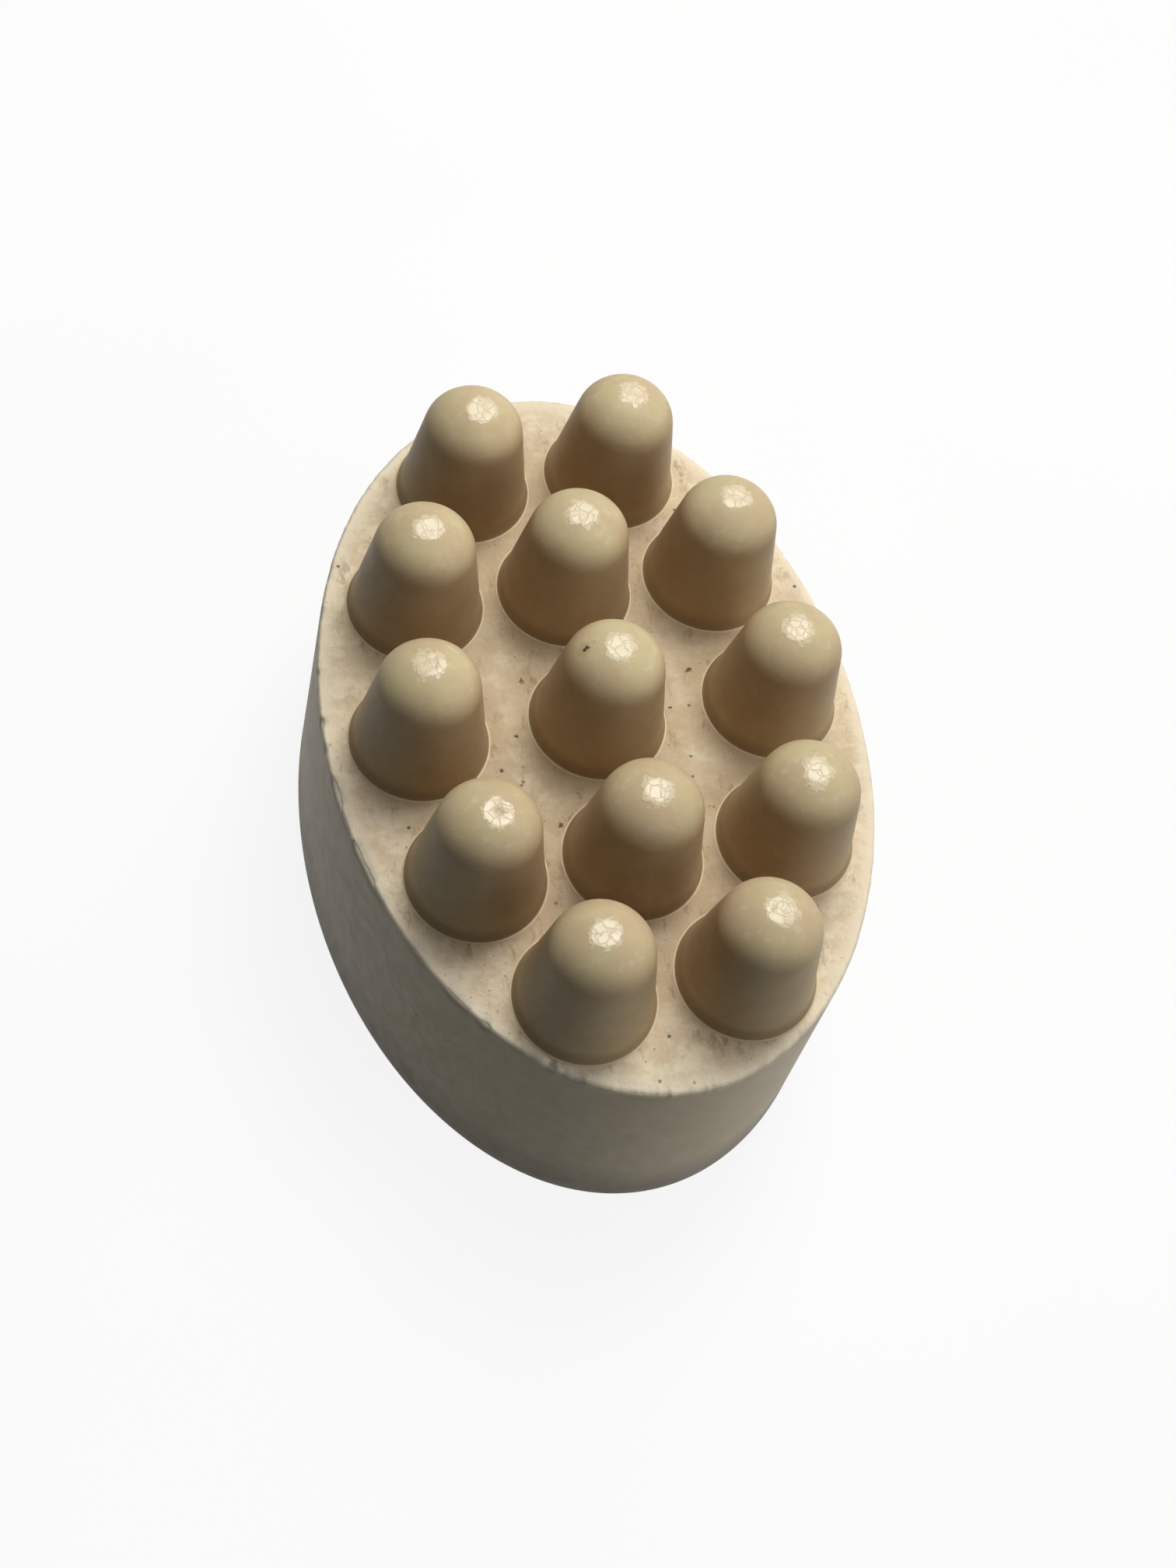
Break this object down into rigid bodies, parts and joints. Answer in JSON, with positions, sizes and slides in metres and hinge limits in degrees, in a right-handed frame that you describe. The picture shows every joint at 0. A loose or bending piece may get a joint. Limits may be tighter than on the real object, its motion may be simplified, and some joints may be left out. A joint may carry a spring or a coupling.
{
  "type": "rubber curry brush",
  "caption": "Palm-held oval block of pale soft rubber, flat on the back, with blunt tapered nubs that flex on its face, for grooming a short coat.",
  "frame": {"origin": "centre of the flat back, at the middle of the oval", "axes": "+Z out of the back towards the nub tips, +Y along the oval's long axis, +X across it"},
  "size_m": [0.0623, 0.0914, 0.0459],
  "materials": {
    "block_rubber": "pale ivory, chalky matt on the nub face with fine pits and specks, smoother satin on the side wall",
    "nub_rubber": "pale ivory, smooth satin, rubbed to a broken shine at the tips"
  },
  "bodies": {
    "block": {"body_block": "block_rubber"},
    "root_01": {"nub_root_01": "nub_rubber"},
    "nub_01": {"nub_01": "nub_rubber"},
    "root_02": {"nub_root_02": "nub_rubber"},
    "nub_02": {"nub_02": "nub_rubber"},
    "root_03": {"nub_root_03": "nub_rubber"},
    "nub_03": {"nub_03": "nub_rubber"},
    "root_04": {"nub_root_04": "nub_rubber"},
    "nub_04": {"nub_04": "nub_rubber"},
    "root_05": {"nub_root_05": "nub_rubber"},
    "nub_05": {"nub_05": "nub_rubber"},
    "root_06": {"nub_root_06": "nub_rubber"},
    "nub_06": {"nub_06": "nub_rubber"},
    "root_07": {"nub_root_07": "nub_rubber"},
    "nub_07": {"nub_07": "nub_rubber"},
    "root_08": {"nub_root_08": "nub_rubber"},
    "nub_08": {"nub_08": "nub_rubber"},
    "root_09": {"nub_root_09": "nub_rubber"},
    "nub_09": {"nub_09": "nub_rubber"},
    "root_10": {"nub_root_10": "nub_rubber"},
    "nub_10": {"nub_10": "nub_rubber"},
    "root_11": {"nub_root_11": "nub_rubber"},
    "nub_11": {"nub_11": "nub_rubber"},
    "root_12": {"nub_root_12": "nub_rubber"},
    "nub_12": {"nub_12": "nub_rubber"},
    "root_13": {"nub_root_13": "nub_rubber"},
    "nub_13": {"nub_13": "nub_rubber"}
  },
  "joints": [
    {"name": "nub_01_bend_along", "type": "hinge", "parent": "block", "child": "root_01", "pos_m": [-0.00891, -0.0327, 0.032], "axis": [1, 0, 0], "range_deg": [-8, 8], "stiffness_Nm_per_rad": 0.26, "deforming": ["nub_root_01"]},
    {"name": "nub_01_bend_across", "type": "hinge", "parent": "root_01", "child": "nub_01", "pos_m": [-0.00891, -0.0327, 0.035], "axis": [0, 1, 0], "range_deg": [-10, 10], "stiffness_Nm_per_rad": 0.16, "deforming": ["nub_root_01"]},
    {"name": "nub_02_bend_along", "type": "hinge", "parent": "block", "child": "root_02", "pos_m": [0.00891, -0.0327, 0.032], "axis": [1, 0, 0], "range_deg": [-8, 8], "stiffness_Nm_per_rad": 0.26, "deforming": ["nub_root_02"]},
    {"name": "nub_02_bend_across", "type": "hinge", "parent": "root_02", "child": "nub_02", "pos_m": [0.00891, -0.0327, 0.035], "axis": [0, 1, 0], "range_deg": [-10, 10], "stiffness_Nm_per_rad": 0.16, "deforming": ["nub_root_02"]},
    {"name": "nub_03_bend_along", "type": "hinge", "parent": "block", "child": "root_03", "pos_m": [-0.01744, -0.0174, 0.032], "axis": [1, 0, 0], "range_deg": [-8, 8], "stiffness_Nm_per_rad": 0.26, "deforming": ["nub_root_03"]},
    {"name": "nub_03_bend_across", "type": "hinge", "parent": "root_03", "child": "nub_03", "pos_m": [-0.01744, -0.0174, 0.035], "axis": [0, 1, 0], "range_deg": [-10, 10], "stiffness_Nm_per_rad": 0.16, "deforming": ["nub_root_03"]},
    {"name": "nub_04_bend_along", "type": "hinge", "parent": "block", "child": "root_04", "pos_m": [0, -0.0174, 0.032], "axis": [1, 0, 0], "range_deg": [-8, 8], "stiffness_Nm_per_rad": 0.26, "deforming": ["nub_root_04"]},
    {"name": "nub_04_bend_across", "type": "hinge", "parent": "root_04", "child": "nub_04", "pos_m": [0, -0.0174, 0.035], "axis": [0, 1, 0], "range_deg": [-10, 10], "stiffness_Nm_per_rad": 0.16, "deforming": ["nub_root_04"]},
    {"name": "nub_05_bend_along", "type": "hinge", "parent": "block", "child": "root_05", "pos_m": [0.01744, -0.0174, 0.032], "axis": [1, 0, 0], "range_deg": [-8, 8], "stiffness_Nm_per_rad": 0.26, "deforming": ["nub_root_05"]},
    {"name": "nub_05_bend_across", "type": "hinge", "parent": "root_05", "child": "nub_05", "pos_m": [0.01744, -0.0174, 0.035], "axis": [0, 1, 0], "range_deg": [-10, 10], "stiffness_Nm_per_rad": 0.16, "deforming": ["nub_root_05"]},
    {"name": "nub_06_bend_along", "type": "hinge", "parent": "block", "child": "root_06", "pos_m": [-0.02029, 0, 0.032], "axis": [1, 0, 0], "range_deg": [-8, 8], "stiffness_Nm_per_rad": 0.26, "deforming": ["nub_root_06"]},
    {"name": "nub_06_bend_across", "type": "hinge", "parent": "root_06", "child": "nub_06", "pos_m": [-0.02029, 0, 0.035], "axis": [0, 1, 0], "range_deg": [-10, 10], "stiffness_Nm_per_rad": 0.16, "deforming": ["nub_root_06"]},
    {"name": "nub_07_bend_along", "type": "hinge", "parent": "block", "child": "root_07", "pos_m": [0, 0, 0.032], "axis": [1, 0, 0], "range_deg": [-8, 8], "stiffness_Nm_per_rad": 0.26, "deforming": ["nub_root_07"]},
    {"name": "nub_07_bend_across", "type": "hinge", "parent": "root_07", "child": "nub_07", "pos_m": [0, 0, 0.035], "axis": [0, 1, 0], "range_deg": [-10, 10], "stiffness_Nm_per_rad": 0.16, "deforming": ["nub_root_07"]},
    {"name": "nub_08_bend_along", "type": "hinge", "parent": "block", "child": "root_08", "pos_m": [0.02029, 0, 0.032], "axis": [1, 0, 0], "range_deg": [-8, 8], "stiffness_Nm_per_rad": 0.26, "deforming": ["nub_root_08"]},
    {"name": "nub_08_bend_across", "type": "hinge", "parent": "root_08", "child": "nub_08", "pos_m": [0.02029, 0, 0.035], "axis": [0, 1, 0], "range_deg": [-10, 10], "stiffness_Nm_per_rad": 0.16, "deforming": ["nub_root_08"]},
    {"name": "nub_09_bend_along", "type": "hinge", "parent": "block", "child": "root_09", "pos_m": [-0.01744, 0.0174, 0.032], "axis": [1, 0, 0], "range_deg": [-8, 8], "stiffness_Nm_per_rad": 0.26, "deforming": ["nub_root_09"]},
    {"name": "nub_09_bend_across", "type": "hinge", "parent": "root_09", "child": "nub_09", "pos_m": [-0.01744, 0.0174, 0.035], "axis": [0, 1, 0], "range_deg": [-10, 10], "stiffness_Nm_per_rad": 0.16, "deforming": ["nub_root_09"]},
    {"name": "nub_10_bend_along", "type": "hinge", "parent": "block", "child": "root_10", "pos_m": [0, 0.0174, 0.032], "axis": [1, 0, 0], "range_deg": [-8, 8], "stiffness_Nm_per_rad": 0.26, "deforming": ["nub_root_10"]},
    {"name": "nub_10_bend_across", "type": "hinge", "parent": "root_10", "child": "nub_10", "pos_m": [0, 0.0174, 0.035], "axis": [0, 1, 0], "range_deg": [-10, 10], "stiffness_Nm_per_rad": 0.16, "deforming": ["nub_root_10"]},
    {"name": "nub_11_bend_along", "type": "hinge", "parent": "block", "child": "root_11", "pos_m": [0.01744, 0.0174, 0.032], "axis": [1, 0, 0], "range_deg": [-8, 8], "stiffness_Nm_per_rad": 0.26, "deforming": ["nub_root_11"]},
    {"name": "nub_11_bend_across", "type": "hinge", "parent": "root_11", "child": "nub_11", "pos_m": [0.01744, 0.0174, 0.035], "axis": [0, 1, 0], "range_deg": [-10, 10], "stiffness_Nm_per_rad": 0.16, "deforming": ["nub_root_11"]},
    {"name": "nub_12_bend_along", "type": "hinge", "parent": "block", "child": "root_12", "pos_m": [-0.00891, 0.0327, 0.032], "axis": [1, 0, 0], "range_deg": [-8, 8], "stiffness_Nm_per_rad": 0.26, "deforming": ["nub_root_12"]},
    {"name": "nub_12_bend_across", "type": "hinge", "parent": "root_12", "child": "nub_12", "pos_m": [-0.00891, 0.0327, 0.035], "axis": [0, 1, 0], "range_deg": [-10, 10], "stiffness_Nm_per_rad": 0.16, "deforming": ["nub_root_12"]},
    {"name": "nub_13_bend_along", "type": "hinge", "parent": "block", "child": "root_13", "pos_m": [0.00891, 0.0327, 0.032], "axis": [1, 0, 0], "range_deg": [-8, 8], "stiffness_Nm_per_rad": 0.26, "deforming": ["nub_root_13"]},
    {"name": "nub_13_bend_across", "type": "hinge", "parent": "root_13", "child": "nub_13", "pos_m": [0.00891, 0.0327, 0.035], "axis": [0, 1, 0], "range_deg": [-10, 10], "stiffness_Nm_per_rad": 0.16, "deforming": ["nub_root_13"]}
  ]
}
